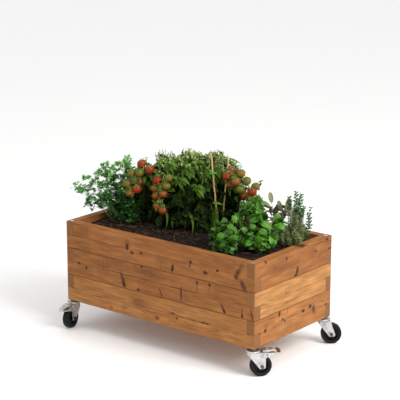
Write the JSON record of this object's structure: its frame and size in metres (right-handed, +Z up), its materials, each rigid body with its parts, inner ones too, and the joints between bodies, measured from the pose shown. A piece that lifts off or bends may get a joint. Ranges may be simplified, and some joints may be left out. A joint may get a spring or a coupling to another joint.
{
  "type": "raised planter on casters",
  "caption": "Rectangular finger-jointed timber planter box on four swivel casters, filled with soil and planted with herbs and tomatoes.",
  "frame": {"origin": "on the ground, at the centre of the footprint's bounding box; the timber box's own centre is 23 mm behind it (+Y)", "axes": "+X along the bed's long side, -Y out of the front, +Z up"},
  "size_m": [1.3233, 0.8046, 0.9304],
  "materials": {
    "timber": "satin",
    "floor_timber": "matte",
    "zinc_steel": "satin",
    "cap_steel": "satin",
    "dark_steel": "satin",
    "tyre_rubber": "matte",
    "hub_rubber": "matte",
    "brake_tip": "satin",
    "liner_fabric": "matte",
    "soil": "matte",
    "bamboo": "satin",
    "stem_green": "satin",
    "tie": "matte",
    "parsley_leaf": "satin",
    "tomato_leaf": "satin",
    "tomato_fruit": "gloss",
    "basil_leaf": "satin",
    "lovage_leaf": "satin",
    "sage_leaf": "matte",
    "thyme_leaf": "matte"
  },
  "bodies": {
    "planter": {"front_board_1": "timber", "front_board_2": "timber", "front_board_3": "timber", "back_board_1": "timber", "back_board_2": "timber", "back_board_3": "timber", "left_board_1": "timber", "left_board_2": "timber", "left_board_3": "timber", "right_board_1": "timber", "right_board_2": "timber", "right_board_3": "timber", "floor_bearers": "floor_timber", "floor_slats": "floor_timber", "floor_screws": "zinc_steel", "liner": "liner_fabric", "soil": "soil", "corner_rods": "zinc_steel", "rod_caps": "cap_steel", "nuts_and_collars": "dark_steel", "bearing_balls": "cap_steel", "caster_head_front_left": "zinc_steel", "caster_head_front_right": "zinc_steel", "caster_head_back_left": "zinc_steel", "caster_head_back_right": "zinc_steel", "parsley": "parsley_leaf", "tomato_plant": "tomato_leaf", "tomato_truss_left": "tomato_fruit", "tomato_truss_middle": "tomato_fruit", "tomato_truss_right": "tomato_fruit", "bamboo_stakes": "bamboo", "basil_left": "basil_leaf", "basil_right": "basil_leaf", "lovage": "lovage_leaf", "sage": "sage_leaf", "thyme": "thyme_leaf"},
    "caster_front_left": {"fork_front_left": "zinc_steel", "axle_bolt_front_left": "dark_steel", "brake_pin_front_left": "dark_steel"},
    "wheel_front_left": {"wheel_hub_front_left": "hub_rubber", "tyre_front_left": "tyre_rubber"},
    "brake_front_left": {"brake_lever_front_left": "zinc_steel", "brake_shoe_front_left": "dark_steel", "brake_tip_front_left": "zinc_steel"},
    "caster_front_right": {"fork_front_right": "zinc_steel", "axle_bolt_front_right": "dark_steel", "brake_pin_front_right": "dark_steel"},
    "wheel_front_right": {"wheel_hub_front_right": "hub_rubber", "tyre_front_right": "tyre_rubber"},
    "brake_front_right": {"brake_lever_front_right": "zinc_steel", "brake_shoe_front_right": "dark_steel", "brake_tip_front_right": "brake_tip"},
    "caster_back_left": {"fork_back_left": "zinc_steel", "axle_bolt_back_left": "dark_steel"},
    "wheel_back_left": {"wheel_hub_back_left": "hub_rubber", "tyre_back_left": "tyre_rubber"},
    "caster_back_right": {"fork_back_right": "zinc_steel", "axle_bolt_back_right": "dark_steel"},
    "wheel_back_right": {"wheel_hub_back_right": "hub_rubber", "tyre_back_right": "tyre_rubber"}
  },
  "joints": [
    {"name": "swivel_front_left", "type": "hinge", "parent": "planter", "child": "caster_front_left", "pos_m": [-0.578, -0.27, 0.12], "axis": [0, 0, 1], "continuous": true},
    {"name": "roll_front_left", "type": "hinge", "parent": "caster_front_left", "child": "wheel_front_left", "pos_m": [-0.57031, -0.30619, 0.052], "axis": [0.9781, 0.2079, 0], "continuous": true},
    {"name": "brake_front_left", "type": "hinge", "parent": "caster_front_left", "child": "brake_front_left", "pos_m": [-0.56532, -0.32967, 0.106], "axis": [0.9781, 0.2079, 0], "range_deg": [0, 12]},
    {"name": "swivel_front_right", "type": "hinge", "parent": "planter", "child": "caster_front_right", "pos_m": [0.578, -0.27, 0.12], "axis": [0, 0, 1], "continuous": true},
    {"name": "roll_front_right", "type": "hinge", "parent": "caster_front_right", "child": "wheel_front_right", "pos_m": [0.59922, -0.23969, 0.052], "axis": [-0.8192, 0.5736, 0], "continuous": true},
    {"name": "brake_front_right", "type": "hinge", "parent": "caster_front_right", "child": "brake_front_right", "pos_m": [0.61299, -0.22003, 0.106], "axis": [-0.8192, 0.5736, 0], "range_deg": [0, 12]},
    {"name": "swivel_back_left", "type": "hinge", "parent": "planter", "child": "caster_back_left", "pos_m": [-0.578, 0.316, 0.12], "axis": [0, 0, 1], "continuous": true},
    {"name": "roll_back_left", "type": "hinge", "parent": "caster_back_left", "child": "wheel_back_left", "pos_m": [-0.59364, 0.34953, 0.052], "axis": [-0.9063, -0.4226, 0], "continuous": true},
    {"name": "swivel_back_right", "type": "hinge", "parent": "planter", "child": "caster_back_right", "pos_m": [0.578, 0.316, 0.12], "axis": [0, 0, 1], "continuous": true},
    {"name": "roll_back_right", "type": "hinge", "parent": "caster_back_right", "child": "wheel_back_right", "pos_m": [0.60634, 0.33978, 0.052], "axis": [-0.6428, 0.766, 0], "continuous": true}
  ]
}
